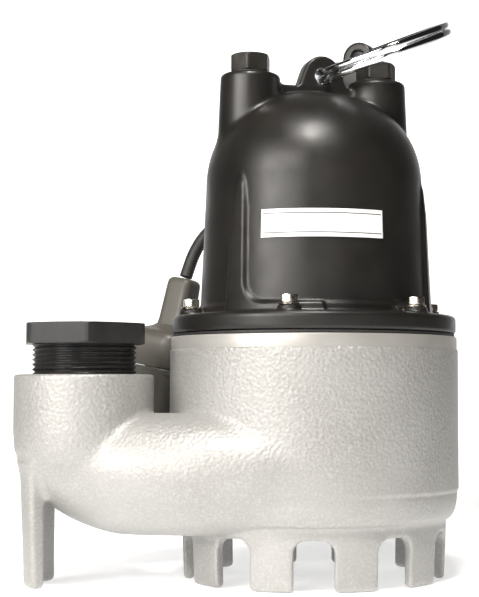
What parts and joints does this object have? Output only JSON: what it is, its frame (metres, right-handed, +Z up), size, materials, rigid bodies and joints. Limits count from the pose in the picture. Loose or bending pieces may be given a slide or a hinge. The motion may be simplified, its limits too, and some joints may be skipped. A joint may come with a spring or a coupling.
{
  "type": "submersible sump pump",
  "caption": "Submersible sump pump: cast volute on finger feet with an upright side discharge, a sealed motor housing, a lifting ring and a tethered float switch.",
  "frame": {"origin": "on the floor, under the middle of the whole pump's box", "axes": "+Z up along the motor shaft, +X away from the discharge, -Y to the front, where the label plate is"},
  "size_m": [0.207, 0.1405, 0.2725],
  "materials": {
    "silver_paint": "hammered silver enamel on rough casting",
    "black_paint": "satin black enamel",
    "black_bushing": "satin moulded plastic",
    "nickel_steel": "satin nickel plate",
    "chrome": "polished",
    "plug_iron": "black oxide",
    "label_white": "blank satin plate",
    "black_rubber": "matte",
    "bright_steel": "ground",
    "cast_iron": "as cast, machined faces",
    "copper_wire": "enamelled copper wire",
    "ceramic": "lapped",
    "brass": "machined",
    "cream_plastic": "moulded",
    "float_plastic": "moulded, dark grey"
  },
  "bodies": {
    "pump_body": {"bearing_carrier": "cast_iron", "discharge_bushing": "black_bushing", "discharge_leg": "silver_paint", "discharge_tower": "silver_paint", "flange_bolt_1": "nickel_steel", "flange_bolt_2": "nickel_steel", "flange_bolt_3": "nickel_steel", "flange_bolt_4": "nickel_steel", "flange_bolt_5": "nickel_steel", "flange_bolt_6": "nickel_steel", "float_gland_grommet": "black_rubber", "float_gland_nut": "black_rubber", "foot_finger_1": "silver_paint", "foot_finger_10": "silver_paint", "foot_finger_2": "silver_paint", "foot_finger_3": "silver_paint", "foot_finger_4": "silver_paint", "foot_finger_5": "silver_paint", "foot_finger_6": "silver_paint", "foot_finger_7": "silver_paint", "foot_finger_8": "silver_paint", "foot_finger_9": "silver_paint", "housing_gasket": "black_rubber", "label_plate": "label_white", "lower_bearing_outer_race": "bright_steel", "lower_winding": "copper_wire", "motor_housing": "black_paint", "oil_plug_left": "plug_iron", "oil_plug_right": "plug_iron", "oil_plug_seal_left": "black_rubber", "oil_plug_seal_right": "black_rubber", "power_gland_grommet": "black_rubber", "power_gland_nut": "black_rubber", "seal_seat": "ceramic", "stator_core": "cast_iron", "suction_plate": "silver_paint", "terminal_block": "cream_plastic", "thermal_protector": "black_paint", "upper_bearing_outer_race": "bright_steel", "upper_winding": "copper_wire", "volute_casing": "silver_paint"},
    "rotor": {"shaft": "bright_steel", "impeller": "cast_iron", "impeller_nut": "bright_steel", "seal_head": "black_rubber", "seal_spring": "bright_steel", "rotor_core": "bright_steel", "lower_bearing_inner_race": "bright_steel", "upper_bearing_inner_race": "bright_steel"},
    "lower_ball_set": {"lower_bearing_balls": "brass"},
    "upper_ball_set": {"upper_bearing_balls": "brass"},
    "lift_ring": {"lift_ring": "chrome"},
    "float_switch": {"float_cord": "black_rubber", "float_upper_shell": "float_plastic", "float_lower_shell": "float_plastic", "float_cord_clamp": "brass", "ball_track": "cream_plastic", "snap_switch": "cream_plastic"},
    "float_ball": {"float_ball": "bright_steel"}
  },
  "joints": [
    {"name": "rotor_spin", "type": "hinge", "parent": "pump_body", "child": "rotor", "pos_m": [0.0342, 0.0012, 0.1], "axis": [0, 0, 1], "continuous": true},
    {"name": "lower_cage_spin", "type": "hinge", "parent": "pump_body", "child": "lower_ball_set", "pos_m": [0.0342, 0.0012, 0.0913], "axis": [0, 0, 1], "continuous": true},
    {"name": "upper_cage_spin", "type": "hinge", "parent": "pump_body", "child": "upper_ball_set", "pos_m": [0.0342, 0.0012, 0.203], "axis": [0, 0, 1], "continuous": true},
    {"name": "lift_ring_swing", "type": "hinge", "parent": "pump_body", "child": "lift_ring", "pos_m": [0.0371, 0.0022, 0.2413], "axis": [0.3276, -0.9408, -0.0872], "range_deg": [0, 133]},
    {"name": "float_swing", "type": "hinge", "parent": "pump_body", "child": "float_switch", "pos_m": [-0.00499, 0.0512, 0.17944], "axis": [0, 1, 0], "range_deg": [0, 95], "deforming": ["float_cord"]},
    {"name": "float_ball_roll", "type": "slide", "parent": "float_switch", "child": "float_ball", "axis": [0.1908, 0, 0.9816], "range_m": [0, 0.0155]}
  ],
  "couplings": [
    {"joint": "lower_cage_spin", "follows": "rotor_spin", "ratio": 0.404},
    {"joint": "upper_cage_spin", "follows": "rotor_spin", "ratio": 0.404}
  ]
}
